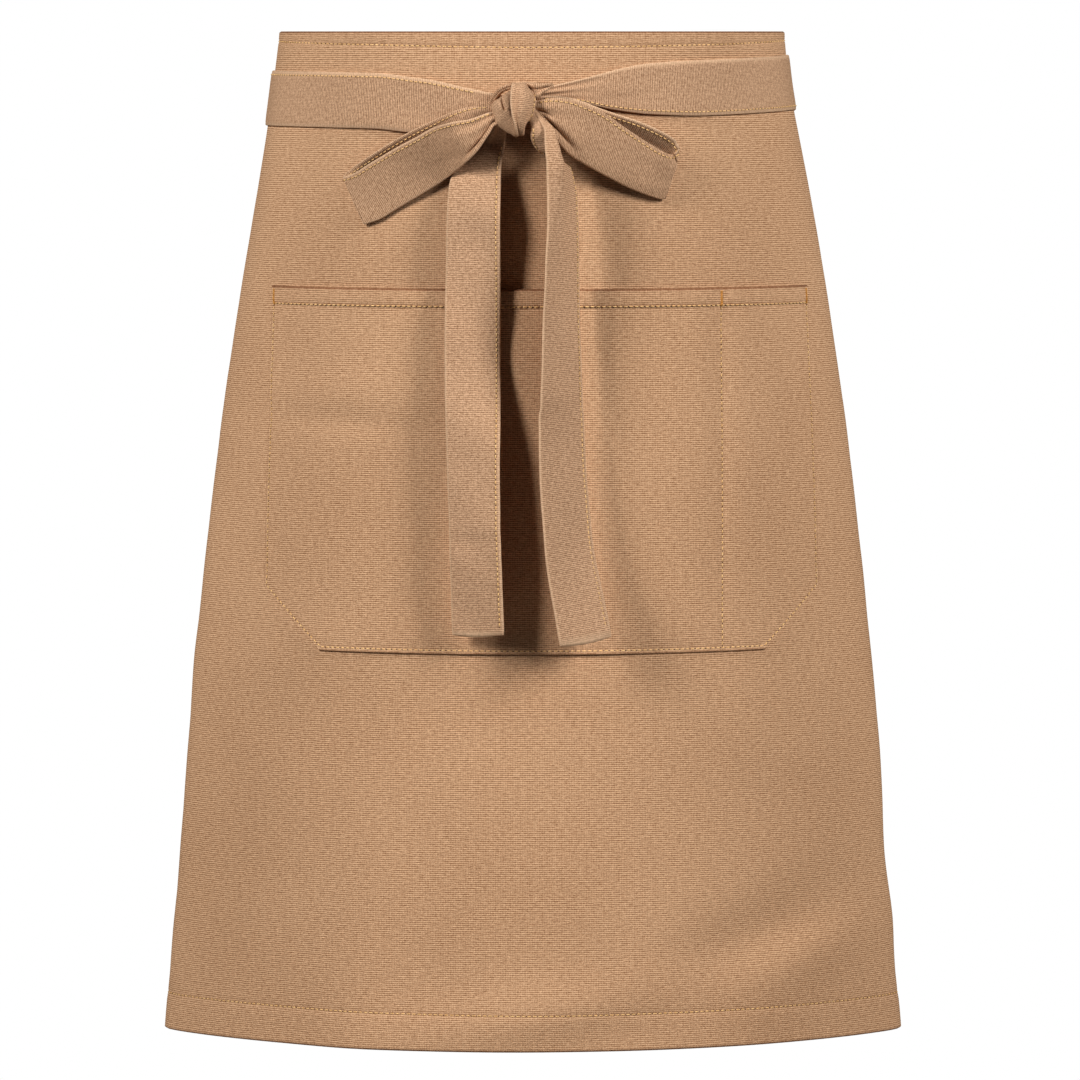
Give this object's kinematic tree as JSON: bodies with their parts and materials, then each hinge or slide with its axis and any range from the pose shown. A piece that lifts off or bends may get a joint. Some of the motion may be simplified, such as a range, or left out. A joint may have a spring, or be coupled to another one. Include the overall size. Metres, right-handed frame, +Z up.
{
  "type": "waist apron",
  "caption": "Knee-length canvas waist apron as worn, with a patch pocket split by a stitched line and ties that cross behind and close in a bow in front.",
  "frame": {"origin": "centre of the waist opening, at the height of the panel's top fold", "axes": "+Z up the body, +X to the viewer's right, and the front of the apron faces -Y"},
  "size_m": [0.4452, 0.252, 0.6],
  "materials": {
    "canvas": "matt cotton canvas with a fine crosswise rib",
    "tie_canvas": "matt cotton canvas with a fine rib across the strap"
  },
  "bodies": {
    "root": {"panel": "canvas", "pocket": "canvas", "knot": "tie_canvas", "left_tie": "tie_canvas", "right_tie": "tie_canvas", "left_loop": "tie_canvas", "right_loop": "tie_canvas", "left_tail": "tie_canvas", "right_tail": "tie_canvas"}
  },
  "joints": []
}
